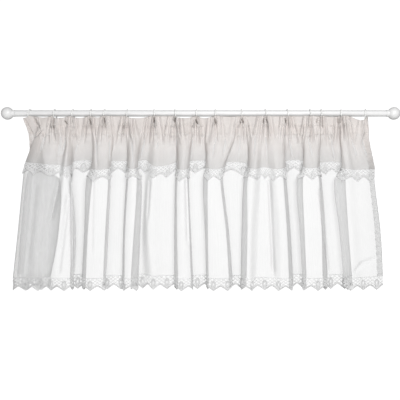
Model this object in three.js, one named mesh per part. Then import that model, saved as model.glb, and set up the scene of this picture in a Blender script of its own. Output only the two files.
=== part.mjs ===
// Short sheer curtain: a gathered heading, a valance and a full length panel, both edged with scalloped lace,
// hung by rings and hooks from a round rod with ball finials.
// Millimetres, +Z up, +X to the viewer's right. The viewer stands on the -Y side.
// The origin is the middle of the rod, on its axis.

import * as THREE from 'three';

// Rod and finials
const rodRadius = 12.5;
const rodHalfLength = 742;
const rodSides = 20;
const bracketSeat = { from: 700, to: 725 };
const finialRadius = 25;
const finialCentre = 773;
const neckRadius = 14;
const finialSides = 16;
const finialArcSteps = 6;
const fit = 0.3;

// Rings and the hooks that hang on them
const ringRadius = 21;
const ringWireRadius = 2.2;
const ringSteps = 12;
const ringWireSides = 4;
const ringClearance = 0.7;
const hookClearance = 1.3;
const hookWireRadius = 1.3;
const hookLoopRadius = 5.2;
const hookSteps = 7;
const hookEndBelow = 40;

// Cloth
const clothPlane = -33;
const clothThickness = 1.6;
const laceThickness = 1.2;
const eyeDistance = 2300;
const scallops = 48;
const threadsPerScallop = 4;
const seamGap = 0.97;

// Heading: rows of pleats between three gathering cords
const headingTop = 14;
const gatherLine = 94;
const headingRows = [
  { below: 40, pleat: 4.5, hollow: 16 },
  { below: 75, pleat: 4, hollow: 0 },
];
const topPleat = 3.5;
const hollowHalfWidth = 15;
const flapThreads = 32;

// Valance and panel. sway: how much higher a hem hangs at the back of the folds than halfway.
const headingOffset = 2.2;
const skirtRow = { below: 150, offset: 3.5 };
const valanceHem = { below: 210, offset: 5, sway: 15, laceDepth: 48, laceSway: -3 };
const panelTop = 97;
const panelMiddle = 440;
const panelHem = { below: 647, offset: 0, sway: 6, laceDepth: 54, laceSway: -6 };

// Lace edging
const scallopDepth = 19;
const scallopDrop = [0, 0.36, 1, 0.36];
const eyelet = { above: 18, height: 14, halfWidth: 0.24 };

// Levels at which the fold lines are placed, and how far the folds swing in and out there
const levels = [
  { name: 'top', below: 18, swing: 5 },
  { name: 'gather', below: 94, swing: 17 },
  { name: 'skirt', below: 226, swing: 34 },
  { name: 'upper', below: 266, swing: 36 },
  { name: 'middle', below: 466, swing: 36 },
  { name: 'hem', below: 647, swing: 36 },
];

// Fold lines from left to right. Each is placed where it lines up with the rod for an eye in front of the middle.
// depth: 1 is the back of the folds and -1 their front. swell: the depth halfway to the next line, or null
// where the cloth runs straight to it. lift: how much the valance's hem rides up there.
const foldColumns = [
  'name', 'depth', 'top', 'gather', 'skirt', 'upper', 'middle', 'hem', 'swell', 'lift',
];
const foldTable = [
  ['free edge', 0.9, -715, -687, -687, -699, -719, -735, 0.95, 12],
  ['return', 0.7, -668, -643, -618, -567, -571, -603, null, 12],
  ['return inside', 0, -660, -645, -620, -569, -573, -605, null, 12],
  ['left edge', -0.4, -627, -659, -705, -711, -731, -751, -0.8, 20],
  ['left dip', -0.5, -603, -619, -664, -671, -691, -699, -0.9, 16],
  ['left valley', -0.35, -543, -539, -562, -569, -607, -623, -0.9, 6],
  ['fold 1 front', -0.45, -531, -523, -523, -519, -500, -507, null, 6],
  ['fold 1 back', 0.35, -515, -507, -512, -515, -512, -523, 0.85, 12],
  ['fold 2 back', 0.45, -439, -437, -422, -433, -451, -459, null, 10],
  ['fold 2 front', -0.45, -419, -417, -437, -457, -465, -475, -0.8, -8],
  ['fold 3 front', -0.45, -367, -359, -365, -361, -369, -379, null, -4],
  ['fold 3 back', 0.35, -351, -343, -371, -369, -381, -389, 0.25, 14],
  ['fold 4 back', 0.35, -303, -299, -287, -291, -303, -305, null, 14],
  ['fold 4 front', -0.5, -287, -283, -291, -297, -309, -313, -1, -2],
  ['fold 5 front', -0.45, -255, -251, -255, -237, -241, -249, null, -2],
  ['fold 5 back', 0.5, -235, -231, -263, -255, -267, -279, 1, 10],
  ['soft ridge', 0.1, -183, -179, -183, -195, -207, -191, 0.4, -6],
  ['fold 6 back', 0.4, -111, -107, -88, -95, -95, -91, null, 12],
  ['fold 6 front', -0.45, -95, -87, -93, -101, -105, -105, -0.95, -6],
  ['fold 7 front', -0.45, -55, -47, -50, -49, -40, -31, null, -6],
  ['fold 7 back', 0.4, -39, -33, -55, -53, -45, -39, 0.6, 12],
  ['fold 8 back', 0.5, 13, 11, 33, 28, 28, 31, null, 12],
  ['fold 8 front', -0.45, 29, 31, 23, 9, 18, 23, -0.85, -4],
  ['fold 9 front', -0.45, 121, 125, 91, 88, 112, 127, null, -2],
  ['fold 9 back', 0.4, 137, 141, 82, 79, 101, 113, 0.45, 8],
  ['fold 10 back', 0.45, 185, 183, 198, 187, 187, 183, null, 0],
  ['fold 10 front', -0.45, 201, 201, 191, 173, 164, 161, -1, -2],
  ['soft valley', -0.4, 245, 247, 241, 241, 227, 223, null, -2],
  ['soft valley end', -0.4, 269, 265, 273, 271, 288, 285, -0.9, -4],
  ['fold 11 front', -0.45, 325, 325, 337, 343, 359, 369, null, -2],
  ['fold 11 back', 0.4, 341, 343, 329, 331, 345, 353, 0.95, 11],
  ['fold 12 back', 0.45, 397, 401, 421, 409, 415, 423, null, 11],
  ['fold 12 front', -0.4, 413, 419, 411, 385, 397, 408, -0.7, -2],
  ['fold 13 front', -0.4, 469, 469, 472, 483, 500, 507, null, -2],
  ['fold 13 back', 0.4, 485, 487, 464, 474, 484, 488, 0.8, 6],
  ['fold 14 back', 0.5, 549, 553, 581, 579, 591, 605, null, 2],
  ['fold 14 front', -0.4, 571, 564, 567, 535, 555, 571, -0.6, -7],
  ['right dip', -0.25, 597, 590, 616, 621, 637, 645, -0.1, -14],
  ['right edge', 0.2, 669, 671, 695, 695, 719, 729, null, -18],
];

// Rings from left to right: where each stands on the rod and how far it is turned. sag: how much the heading's
// top edge sags between it and the next ring, lowest at the share low of the way there.
const ringTable = [
  { x: -681, turn: -12, sag: 8, low: 0.65 },
  { x: -583, turn: -5, sag: 11, low: 0.3 },
  { x: -510, turn: -3, sag: 9, low: 0.4 },
  { x: -438, turn: 2, sag: 8, low: 0.6 },
  { x: -383, turn: -6, sag: 2, low: 0.5 },
  { x: -293, turn: 0, sag: 11, low: 0.3 },
  { x: -186, turn: 4, sag: 2, low: 0.5 },
  { x: -103, turn: 6, sag: 11, low: 0.4 },
  { x: -17, turn: 0, sag: 10, low: 0.45 },
  { x: 59, turn: 0, sag: 4, low: 0.5 },
  { x: 163, turn: 0, sag: 3, low: 0.5 },
  { x: 258, turn: 3, sag: 3, low: 0.5 },
  { x: 346, turn: 2, sag: 2, low: 0.5 },
  { x: 437, turn: 0, sag: 3, low: 0.5 },
  { x: 482, turn: -5, sag: 4, low: 0.5 },
  { x: 562, turn: -14, sag: 19, low: 0.72 },
  { x: 659, turn: -20, sag: 4, low: 0.5 },
];

const paint = new THREE.MeshStandardMaterial({ color: 0xf4f4f2, roughness: 0.35, metalness: 0 });
const plastic = new THREE.MeshStandardMaterial({ color: 0xf6f6f4, roughness: 0.4, metalness: 0 });
const voile = new THREE.MeshStandardMaterial({ color: 0xf3f2f0, roughness: 0.9, metalness: 0 });
const lace = new THREE.MeshStandardMaterial({ color: 0xe9e8e6, roughness: 0.9, metalness: 0 });

const curtain = new THREE.Group();

function addPiece(name, geometry, material) {
  const mesh = new THREE.Mesh(geometry, material);
  mesh.name = name;
  curtain.add(mesh);
  return mesh;
}

// Section of the cloth in plan
const folds = foldTable.map((row) => Object.fromEntries(foldColumns.map((key, i) => [key, row[i]])));
const levelPlaces = new THREE.CubicInterpolant(
  levels.map((level) => level.below),
  levels.flatMap((level) => [...folds.map((fold) => fold[level.name]), level.swing]),
  folds.length + 1,
);

function standing(seen, depth) {
  const y = clothPlane + depth;
  return new THREE.Vector3(seen * (1 + y / eyeDistance), y, 0);
}

function sectionCurve(below) {
  const places = levelPlaces.evaluate(below);
  const swing = places[folds.length];
  const points = [];
  folds.forEach((fold, i) => {
    points.push(standing(places[i], fold.depth * swing));
    if (fold.swell !== null) {
      points.push(standing((places[i] + places[i + 1]) / 2, fold.swell * swing));
    }
  });
  return new THREE.CatmullRomCurve3(points, false, 'centripetal');
}

// Threads run down the cloth. They are evenly spread along the panel's hem.
const threadCount = scallops * threadsPerScallop;
const hemCurve = sectionCurve(panelHem.below);
const threads = Array.from({ length: threadCount + 1 }, (_, i) => hemCurve.getUtoTmapping(i / threadCount));

// Plan line of the cloth, with each thread met at its own height
function sectionLine(heights) {
  return threads.map((t, i) => {
    const point = sectionCurve(-heights[i]).getPoint(t);
    return new THREE.Vector2(point.x, point.y);
  });
}

// The same line, moved toward the cloth's front face and kept parallel at its corners
function setOff(line, distance) {
  return line.map((point, i) => {
    const before = line[Math.max(i - 1, 0)];
    const after = line[Math.min(i + 1, line.length - 1)];
    const arriving = (i > 0 ? point.clone().sub(before) : after.clone().sub(point)).normalize();
    const leaving = (i < line.length - 1 ? after.clone().sub(point) : arriving.clone()).normalize();
    const along = arriving.clone().add(leaving).normalize();
    const stretch = Math.min(1 / Math.max(along.dot(leaving), 0.01), 1.8);
    return new THREE.Vector2(along.y, -along.x).multiplyScalar(distance * stretch).add(point);
  });
}

// How deep in the folds each thread hangs at the hem, and the lift of the valance there, eased over neighbours
function alongFolds(column) {
  const marks = [];
  folds.forEach((fold) => {
    marks.push(fold[column]);
    if (fold.swell !== null) marks.push(column === 'depth' ? fold.swell : fold[column]);
  });
  const along = threads.map((t) => {
    const place = t * (marks.length - 1);
    const first = Math.min(Math.floor(place), marks.length - 2);
    return THREE.MathUtils.lerp(marks[first], marks[first + 1], place - first);
  });
  return along.map((value, i) => (value + (along[i - 1] ?? value) + (along[i + 1] ?? value)) / 3);
}
const threadDepth = alongFolds('depth');
const threadLift = alongFolds('lift');

// A closed solid from patches of a sheet. A point holds its place on the front and the back face, and a patch
// lists its points against the clock as seen from the front, its first point in sight of all the others.
function thicken(points, patches) {
  const position = points.flatMap(({ front, back }) => [...front, ...back]);
  const index = [];
  const edges = new Set();
  patches.forEach((patch) => {
    for (let i = 1; i < patch.length - 1; i += 1) {
      const [a, b, c] = [patch[0], patch[i], patch[i + 1]];
      index.push(2 * a, 2 * b, 2 * c);
      index.push(2 * a + 1, 2 * c + 1, 2 * b + 1);
    }
    patch.forEach((from, i) => edges.add(`${from} ${patch[(i + 1) % patch.length]}`));
  });
  edges.forEach((edge) => {
    const [a, b] = edge.split(' ').map(Number);
    if (edges.has(`${b} ${a}`)) return;
    index.push(2 * b, 2 * a, 2 * a + 1);
    index.push(2 * b, 2 * a + 1, 2 * b + 1);
  });
  const geometry = new THREE.BufferGeometry();
  geometry.setAttribute('position', new THREE.Float32BufferAttribute(position, 3));
  geometry.setIndex(index);
  geometry.computeVertexNormals();
  return geometry;
}

// One row of points across the cloth: a plan line, with a height for each thread
function rowPoints(line, heights, thickness) {
  const front = setOff(line, thickness / 2);
  const back = setOff(line, -thickness / 2);
  return line.map((_, i) => ({
    front: [front[i].x, front[i].y, heights[i]],
    back: [back[i].x, back[i].y, heights[i]],
  }));
}

function clothGeometry(rows) {
  const width = threads.length;
  const patches = [];
  for (let row = 0; row < rows.length - 1; row += 1) {
    for (let i = 0; i < width - 1; i += 1) {
      const corner = row * width + i;
      patches.push([corner, corner + width, corner + width + 1, corner + 1]);
    }
  }
  return thicken(rows.flat(), patches);
}

function levelHeights(below) {
  return threads.map(() => -below);
}

function seamHeights(hem, lifts) {
  return threads.map((_, i) => -hem.below + hem.sway * threadDepth[i] + lifts[i]);
}

function tipHeights(hem, lifts) {
  return seamHeights(hem, lifts).map((height, i) => height - hem.laceDepth + hem.laceSway * threadDepth[i]);
}

function clothRow(heights, offset) {
  return rowPoints(setOff(sectionLine(heights), offset), heights, clothThickness);
}

// Pencil pleats: every other thread stands forward, some further than others. Each hook draws a hollow.
function pleatedLine(below, pleat, hollow) {
  return setOff(sectionLine(levelHeights(below)), headingOffset).map((point, i) => {
    const side = i % 2 === 0 ? 1 : -1;
    const unevenness = 0.8 + 0.2 * Math.sin(1.9 * i) * Math.cos(0.7 * i);
    const past = THREE.MathUtils.smoothstep(i, 0.6 * flapThreads, flapThreads);
    const nearest = Math.min(...ringTable.map((ring) => Math.abs(ring.x - point.x)));
    const draw = Math.max(0, 1 - (nearest / hollowHalfWidth) ** 2);
    const y = point.y + side * pleat * unevenness * past * (1 - draw) + hollow * draw;
    return new THREE.Vector2(point.x, y);
  });
}

function topHeight(x) {
  const next = ringTable.findIndex((ring) => ring.x > x);
  if (next === 0) return -headingTop - 4 - 0.25 * (ringTable[0].x - x);
  if (next === -1) return -headingTop - 6;
  const from = ringTable[next - 1];
  const share = (x - from.x) / (ringTable[next].x - from.x);
  return -headingTop - from.sag * Math.sin(Math.PI * share ** (Math.log(0.5) / Math.log(from.low)));
}

const noLift = threads.map(() => 0);
const topLine = pleatedLine(levels[0].below, topPleat, 0);
const headingLines = headingRows.map((row) => pleatedLine(row.below, row.pleat, row.hollow));

// Valance with its heading
const valanceRows = [
  rowPoints(topLine, topLine.map((point) => topHeight(point.x)), clothThickness),
  ...headingLines.map((line, i) => rowPoints(line, levelHeights(headingRows[i].below), clothThickness)),
  clothRow(levelHeights(gatherLine), headingOffset),
  clothRow(levelHeights(skirtRow.below), skirtRow.offset),
  clothRow(seamHeights(valanceHem, threadLift), valanceHem.offset),
];
addPiece('valance', clothGeometry(valanceRows), voile);

// Full length panel. Behind the valance its rows follow those of the valance and its lace.
const panelRows = [
  levelHeights(panelTop),
  levelHeights(skirtRow.below),
  seamHeights(valanceHem, threadLift),
  tipHeights(valanceHem, threadLift),
  levelHeights(panelMiddle),
  seamHeights(panelHem, noLift),
];
addPiece('panel', clothGeometry(panelRows.map((heights) => clothRow(heights, 0))), voile);

// Lace edging: a strip with a scalloped edge and an upright eyelet above each point
function between(first, second, share) {
  const blend = (a, b) => a.map((value, i) => THREE.MathUtils.lerp(value, b[i], share));
  return { front: blend(first.front, second.front), back: blend(first.back, second.back) };
}

function laceGeometry(hem, lifts) {
  const seamPlaces = seamHeights(hem, lifts).map((height) => height - seamGap);
  const tipPlaces = tipHeights(hem, lifts);
  const seamLine = setOff(sectionLine(seamHeights(hem, lifts)), hem.offset);
  const seam = rowPoints(seamLine, seamPlaces, laceThickness);
  const tips = rowPoints(setOff(sectionLine(tipPlaces), hem.offset), tipPlaces, laceThickness);
  const onThread = (i, aboveTip) => between(tips[i], seam[i], aboveTip / (seamPlaces[i] - tipPlaces[i]));
  const edge = threads.map((_, i) => onThread(i, scallopDepth * (1 - scallopDrop[i % threadsPerScallop])));
  const points = [...seam, ...edge];
  const width = threads.length;
  const addPoint = (point) => points.push(point) - 1;
  const patches = [];
  for (let i = 0; i < width - 1; i += 1) {
    const beside = Math.abs((i % threadsPerScallop) + 0.5 - threadsPerScallop / 2);
    if (beside > 0.5) patches.push([i, width + i, width + i + 1, i + 1]);
  }
  for (let tip = threadsPerScallop / 2; tip < width; tip += threadsPerScallop) {
    const middle = eyelet.above + eyelet.height / 2;
    const top = addPoint(onThread(tip, eyelet.above + eyelet.height));
    const foot = addPoint(onThread(tip, eyelet.above));
    const left = addPoint(between(onThread(tip, middle), onThread(tip - 1, middle), eyelet.halfWidth));
    const right = addPoint(between(onThread(tip, middle), onThread(tip + 1, middle), eyelet.halfWidth));
    patches.push([tip - 1, width + tip - 1, width + tip, foot, left, top, tip]);
    patches.push([tip + 1, tip, top, right, foot, width + tip, width + tip + 1]);
  }
  return thicken(points, patches);
}

addPiece('valance_lace', laceGeometry(valanceHem, threadLift), lace);
addPiece('panel_lace', laceGeometry(panelHem, noLift), lace);

// Rod, turned flat side down for its brackets
function rodGeometry() {
  const { from, to } = bracketSeat;
  const stations = [-rodHalfLength, -to, -from, from, to, rodHalfLength];
  const profile = [
    new THREE.Vector2(0, -rodHalfLength),
    ...stations.map((station) => new THREE.Vector2(rodRadius, station)),
    new THREE.Vector2(0, rodHalfLength),
  ];
  return new THREE.LatheGeometry(profile, rodSides, Math.PI / rodSides).rotateZ(-Math.PI / 2);
}
addPiece('rod', rodGeometry(), paint);

// Ball finial on a short neck
function finialGeometry() {
  const neckAngle = Math.asin(neckRadius / finialRadius);
  const ballStart = finialCentre - finialRadius * Math.cos(neckAngle);
  const profile = [
    new THREE.Vector2(0, rodHalfLength + fit),
    new THREE.Vector2(neckRadius, rodHalfLength + fit),
    new THREE.Vector2(neckRadius, ballStart),
  ];
  for (let i = 1; i <= finialArcSteps; i += 1) {
    const angle = THREE.MathUtils.lerp(Math.PI - neckAngle, 0, i / finialArcSteps);
    const radius = i === finialArcSteps ? 0 : finialRadius * Math.sin(angle);
    profile.push(new THREE.Vector2(radius, finialCentre + finialRadius * Math.cos(angle)));
  }
  return new THREE.LatheGeometry(profile, finialSides);
}
addPiece('finial_left', finialGeometry().rotateZ(Math.PI / 2), paint);
addPiece('finial_right', finialGeometry().rotateZ(-Math.PI / 2), paint);

// Rings rest on the rod's top. A vertex of each ring points straight up and another straight down.
const rodTop = rodRadius * Math.cos(Math.PI / rodSides);
const ringCentre = rodTop + ringClearance + ringWireRadius - ringRadius;
const ringFoot = ringCentre - ringRadius;

function ringGeometry(turn) {
  const ring = new THREE.TorusGeometry(ringRadius, ringWireRadius, ringWireSides, ringSteps);
  return ring.rotateY(Math.PI / 2).rotateZ(THREE.MathUtils.degToRad(turn));
}

// A hook loops over the foot of its ring and runs forward to the back of the heading
const hookBack = setOff(headingLines[0], -clothThickness / 2);

function backOfHeading(x) {
  const near = hookBack.filter((point, i) => {
    const neighbours = [hookBack[Math.max(i - 1, 0)], hookBack[Math.min(i + 1, hookBack.length - 1)]];
    return neighbours.some((other) => (other.x - x) * (point.x - x) <= 0) || Math.abs(point.x - x) < 3;
  });
  return Math.max(...near.map((point) => point.y));
}

function hookGeometry(x) {
  const loopCentre = ringFoot + ringWireRadius + hookClearance + hookWireRadius - hookLoopRadius;
  const backY = backOfHeading(x) + fit;
  const path = new THREE.CatmullRomCurve3([
    new THREE.Vector3(hookLoopRadius, 0, loopCentre - 3),
    new THREE.Vector3(hookLoopRadius * 0.72, 0, loopCentre + hookLoopRadius * 0.72),
    new THREE.Vector3(-hookLoopRadius * 0.72, 0, loopCentre + hookLoopRadius * 0.72),
    new THREE.Vector3(-hookLoopRadius, -0.5, loopCentre - 3),
    new THREE.Vector3(-hookLoopRadius * 0.5, -2, -hookEndBelow),
    new THREE.Vector3(0, backY, -hookEndBelow),
  ]);
  const section = new THREE.Shape();
  section.moveTo(hookWireRadius, 0);
  section.lineTo(0, hookWireRadius);
  section.lineTo(-hookWireRadius, 0);
  section.lineTo(0, -hookWireRadius);
  return new THREE.ExtrudeGeometry(section, { steps: hookSteps, extrudePath: path, bevelEnabled: false });
}

ringTable.forEach((ring, i) => {
  const number = String(i + 1).padStart(2, '0');
  addPiece(`ring_${number}`, ringGeometry(ring.turn), plastic).position.set(ring.x, 0, ringCentre);
  addPiece(`hook_${number}`, hookGeometry(ring.x), plastic).position.set(ring.x, 0, 0);
});

export default curtain;
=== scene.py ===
"""A short sheer curtain on its rod: gathered heading, valance, full length panel, scalloped lace edgings.

Everything is in the row's frame: metres, +Z up, the viewer on the -Y side, the origin in the middle of
the rod. Cloth is worked out in millimetres from the same fold table as the solids, with far more threads,
and is brought to metres when its mesh is made.
"""

import math

import bpy
import numpy as np
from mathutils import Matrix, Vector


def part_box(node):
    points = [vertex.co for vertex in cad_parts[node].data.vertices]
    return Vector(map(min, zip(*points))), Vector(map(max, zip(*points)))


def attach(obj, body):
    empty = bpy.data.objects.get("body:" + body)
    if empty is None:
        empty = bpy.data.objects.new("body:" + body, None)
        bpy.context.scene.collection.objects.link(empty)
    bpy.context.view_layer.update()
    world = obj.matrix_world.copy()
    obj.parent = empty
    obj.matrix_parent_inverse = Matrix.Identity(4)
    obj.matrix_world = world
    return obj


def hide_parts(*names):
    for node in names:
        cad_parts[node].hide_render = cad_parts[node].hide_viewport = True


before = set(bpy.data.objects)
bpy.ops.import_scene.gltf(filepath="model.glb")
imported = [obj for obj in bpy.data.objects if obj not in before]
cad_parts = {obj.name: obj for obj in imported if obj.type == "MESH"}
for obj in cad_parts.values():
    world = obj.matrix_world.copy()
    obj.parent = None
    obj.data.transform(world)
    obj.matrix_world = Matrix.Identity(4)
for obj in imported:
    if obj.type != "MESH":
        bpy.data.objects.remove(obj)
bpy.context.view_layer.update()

MM = 0.001
SEED = 11
dice = np.random.RandomState(SEED)

# Sizes shared with the solids, in millimetres
ROD_RADIUS = 12.5
ROD_HALF_LENGTH = 742
FINIAL_RADIUS = 25
FINIAL_CENTRE = 773
NECK_RADIUS = 14
FIT = 0.3
RING_RADIUS = 21
RING_WIRE_RADIUS = 2.2
HOOK_WIRE_RADIUS = 1.3
HOOK_LOOP_RADIUS = 5.2
HOOK_END_BELOW = 40
CLOTH_PLANE = -33
EYE_DISTANCE = 2300
SCALLOPS = 48

HEADING_TOP = 14
CORD_ROWS = (24, 57, 92)
HEADING_OFFSET = 2.2
VALANCE_HEM = {"below": 210, "offset": 5, "sway": 15, "lace_depth": 48, "lace_sway": -3}
PANEL_TOP = 97
PANEL_HEM = {"below": 647, "offset": 0, "sway": 6, "lace_depth": 54, "lace_sway": -6}
SCALLOP_DEPTH = 19
SCALLOP_CURVE = 1.2
SEAM_GAP = 0.3

# Levels at which the fold lines are placed: how far below the rod, and how far the folds swing there
LEVELS = [
    ("top", 18, 5),
    ("gather", 94, 17),
    ("skirt", 226, 34),
    ("upper", 266, 36),
    ("middle", 466, 36),
    ("hem", 647, 36),
]

# Fold lines from left to right, as lined up with the rod for an eye in front of the middle.
# Columns: name, depth (1 back, -1 front), top, gather, skirt, upper, middle, hem, swell before the next
# line, and lift of the valance's hem
FOLDS = [
    ("free edge", 0.9, -715, -687, -687, -699, -719, -735, 0.95, 12),
    ("return", 0.7, -668, -643, -618, -567, -571, -603, None, 12),
    ("return inside", 0, -660, -645, -620, -569, -573, -605, None, 12),
    ("left edge", -0.4, -627, -659, -705, -711, -731, -751, -0.8, 20),
    ("left dip", -0.5, -603, -619, -664, -671, -691, -699, -0.9, 16),
    ("left valley", -0.35, -543, -539, -562, -569, -607, -623, -0.9, 6),
    ("fold 1 front", -0.45, -531, -523, -523, -519, -500, -507, None, 6),
    ("fold 1 back", 0.35, -515, -507, -512, -515, -512, -523, 0.85, 12),
    ("fold 2 back", 0.45, -439, -437, -422, -433, -451, -459, None, 10),
    ("fold 2 front", -0.45, -419, -417, -437, -457, -465, -475, -0.8, -8),
    ("fold 3 front", -0.45, -367, -359, -365, -361, -369, -379, None, -4),
    ("fold 3 back", 0.35, -351, -343, -371, -369, -381, -389, 0.25, 14),
    ("fold 4 back", 0.35, -303, -299, -287, -291, -303, -305, None, 14),
    ("fold 4 front", -0.5, -287, -283, -291, -297, -309, -313, -1, -2),
    ("fold 5 front", -0.45, -255, -251, -255, -237, -241, -249, None, -2),
    ("fold 5 back", 0.5, -235, -231, -263, -255, -267, -279, 1, 10),
    ("soft ridge", 0.1, -183, -179, -183, -195, -207, -191, 0.4, -6),
    ("fold 6 back", 0.4, -111, -107, -88, -95, -95, -91, None, 12),
    ("fold 6 front", -0.45, -95, -87, -93, -101, -105, -105, -0.95, -6),
    ("fold 7 front", -0.45, -55, -47, -50, -49, -40, -31, None, -6),
    ("fold 7 back", 0.4, -39, -33, -55, -53, -45, -39, 0.6, 12),
    ("fold 8 back", 0.5, 13, 11, 33, 28, 28, 31, None, 12),
    ("fold 8 front", -0.45, 29, 31, 23, 9, 18, 23, -0.85, -4),
    ("fold 9 front", -0.45, 121, 125, 91, 88, 112, 127, None, -2),
    ("fold 9 back", 0.4, 137, 141, 82, 79, 101, 113, 0.45, 8),
    ("fold 10 back", 0.45, 185, 183, 198, 187, 187, 183, None, 0),
    ("fold 10 front", -0.45, 201, 201, 191, 173, 164, 161, -1, -2),
    ("soft valley", -0.4, 245, 247, 241, 241, 227, 223, None, -2),
    ("soft valley end", -0.4, 269, 265, 273, 271, 288, 285, -0.9, -4),
    ("fold 11 front", -0.45, 325, 325, 337, 343, 359, 369, None, -2),
    ("fold 11 back", 0.4, 341, 343, 329, 331, 345, 353, 0.95, 11),
    ("fold 12 back", 0.45, 397, 401, 421, 409, 415, 423, None, 11),
    ("fold 12 front", -0.4, 413, 419, 411, 385, 397, 408, -0.7, -2),
    ("fold 13 front", -0.4, 469, 469, 472, 483, 500, 507, None, -2),
    ("fold 13 back", 0.4, 485, 487, 464, 474, 484, 488, 0.8, 6),
    ("fold 14 back", 0.5, 549, 553, 581, 579, 591, 605, None, 2),
    ("fold 14 front", -0.4, 571, 564, 567, 535, 555, 571, -0.6, -7),
    ("right dip", -0.25, 597, 590, 616, 621, 637, 645, -0.1, -14),
    ("right edge", 0.2, 669, 671, 695, 695, 719, 729, None, -18),
]
DEPTH, FIRST_LEVEL, SWELL, LIFT = 1, 2, 8, 9

# Rings from left to right: place on the rod, turn in degrees, sag of the heading's top edge up to the next
# ring, and the share of the way there at which it hangs lowest
RINGS = [
    (-681, -12, 8, 0.65), (-583, -5, 11, 0.3), (-510, -3, 9, 0.4), (-438, 2, 8, 0.6), (-383, -6, 2, 0.5),
    (-293, 0, 11, 0.3), (-186, 4, 2, 0.5), (-103, 6, 11, 0.4), (-17, 0, 10, 0.45), (59, 0, 4, 0.5),
    (163, 0, 3, 0.5), (258, 3, 3, 0.5), (346, 2, 2, 0.5), (437, 0, 3, 0.5), (482, -5, 4, 0.5),
    (562, -14, 19, 0.72), (659, -20, 4, 0.5),
]
RING_PLACES, RING_TURNS, RING_SAGS, RING_LOWS = np.array(RINGS, float).T

# Dark hollows between pleats in the heading. Columns: x and depth below the rod at the pointed top, the same
# at the round foot, and half the width of the foot
HOLLOWS = [
    (-546, 32, -531, 50, 2.6),
    (-446, 24, -437, 46, 3.4),
    (-387, 24, -381, 40, 2.2),
    (-185, 20, -186, 40, 2.4),
    (-98, 24, -106, 38, 3.0),
    (-20, 28, -12, 46, 2.8),
    (53, 26, 60, 46, 3.2),
    (166, 24, 170, 44, 2.6),
    (163, 28, 158, 44, 1.8),
    (252, 24, 251, 44, 2.6),
    (262, 26, 267, 46, 2.6),
    (336, 24, 341, 46, 2.6),
    (466, 26, 463, 40, 1.8),
    (548, 20, 551, 44, 3.2),
]

# Creases that fan out below the gathering. Columns: x and depth below the rod where each starts and ends,
# half width, and how deep the trough is
VALANCE_CREASES = [
    (-700, 34, -664, 100, 3, 7),
    (-668, 26, -640, 70, 5, 12),
    (-632, 70, -668, 104, 4, 10),
    (-660, 60, -640, 52, 4, 7),
    (-622, 86, -645, 168, 7, 7),
    (-560, 96, -572, 190, 8, 6),
    (-536, 98, -560, 182, 6, 6),
    (-484, 98, -506, 176, 6, 6),
    (-420, 96, -414, 230, 5, 5),
    (-364, 96, -366, 230, 5, 6),
    (-276, 100, -270, 240, 5, 6),
    (-222, 98, -242, 190, 7, 6),
    (-164, 96, -180, 160, 6, 5),
    (-98, 96, -92, 240, 5, 6),
    (-30, 96, -40, 230, 5, 5),
    (60, 96, 46, 190, 6, 5),
    (104, 96, 90, 180, 6, 5),
    (160, 98, 150, 200, 6, 5),
    (222, 96, 210, 190, 6, 5),
    (262, 96, 268, 220, 5, 5),
    (352, 96, 372, 190, 6, 6),
    (430, 96, 452, 190, 6, 6),
    (520, 96, 540, 200, 6, 6),
    (600, 96, 632, 190, 8, 5),
    (640, 96, 672, 190, 6, 5),
]
PANEL_CREASES = [
    (-531, 326, -571, 640, 9, 9),
    (-567, 266, -603, 436, 9, 9),
    (-520, 270, -512, 640, 4, 14),
    (-660, 290, -690, 600, 8, 3),
    (-618, 280, -650, 560, 10, 4),
    (-430, 262, -436, 560, 5, 4),
    (-203, 266, -213, 426, 6, 6),
    (-60, 262, -52, 520, 5, 4),
    (240, 270, 226, 646, 8, 3),
    (275, 266, 292, 640, 7, 10),
    (616, 628, 650, 590, 6, 7),
    (640, 598, 704, 576, 7, 10),
    (476, 300, 513, 640, 5, 8),
]


# Section of the cloth in plan
LEVEL_COLUMNS = slice(FIRST_LEVEL, FIRST_LEVEL + len(LEVELS))
LEVEL_PLACES = np.array([below for _, below, _ in LEVELS], float)
LEVEL_SWINGS = np.array([swing for _, _, swing in LEVELS], float)

# One row for each level: the place of every fold line, then the swing
LEVEL_VALUES = np.column_stack([np.array([fold[LEVEL_COLUMNS] for fold in FOLDS], float).T, LEVEL_SWINGS])


def fold_places(below):
    """Place of every fold line, and the swing, at one depth below the rod: a cubic through the levels."""
    at, value = LEVEL_PLACES, LEVEL_VALUES
    below = min(max(below, at[0]), at[-1])
    step = np.diff(at)[:, None]
    slope = np.zeros_like(value)
    slope[1:-1] = (value[2:] - value[:-2]) / (at[2:] - at[:-2])[:, None]
    slope[0] = 1.5 * (value[1] - value[0]) / step[0] - slope[1] / 2
    slope[-1] = 1.5 * (value[-1] - value[-2]) / step[-1] - slope[-2] / 2
    i = min(int(np.searchsorted(at, below, side="right")) - 1, len(at) - 2)
    w = (below - at[i]) / (at[i + 1] - at[i])
    h = at[i + 1] - at[i]
    start = (1 + 2 * w) * (1 - w) ** 2
    end = w * w * (3 - 2 * w)
    return start * value[i] + end * value[i + 1] + h * w * (1 - w) * ((1 - w) * slope[i] - w * slope[i + 1])


def standing(seen, depth):
    """A plan point that lines up with a place on the rod for the viewer's eye."""
    y = CLOTH_PLANE + depth
    return seen * (1 + y / EYE_DISTANCE), y


def section_marks(below):
    """The plan curve's control points at one depth below the rod."""
    places = fold_places(below)
    swing = places[-1]
    marks = []
    for i, fold in enumerate(FOLDS):
        marks.append(standing(places[i], fold[DEPTH] * swing))
        if fold[SWELL] is not None:
            marks.append(standing((places[i] + places[i + 1]) / 2, fold[SWELL] * swing))
    return np.array(marks)


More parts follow.
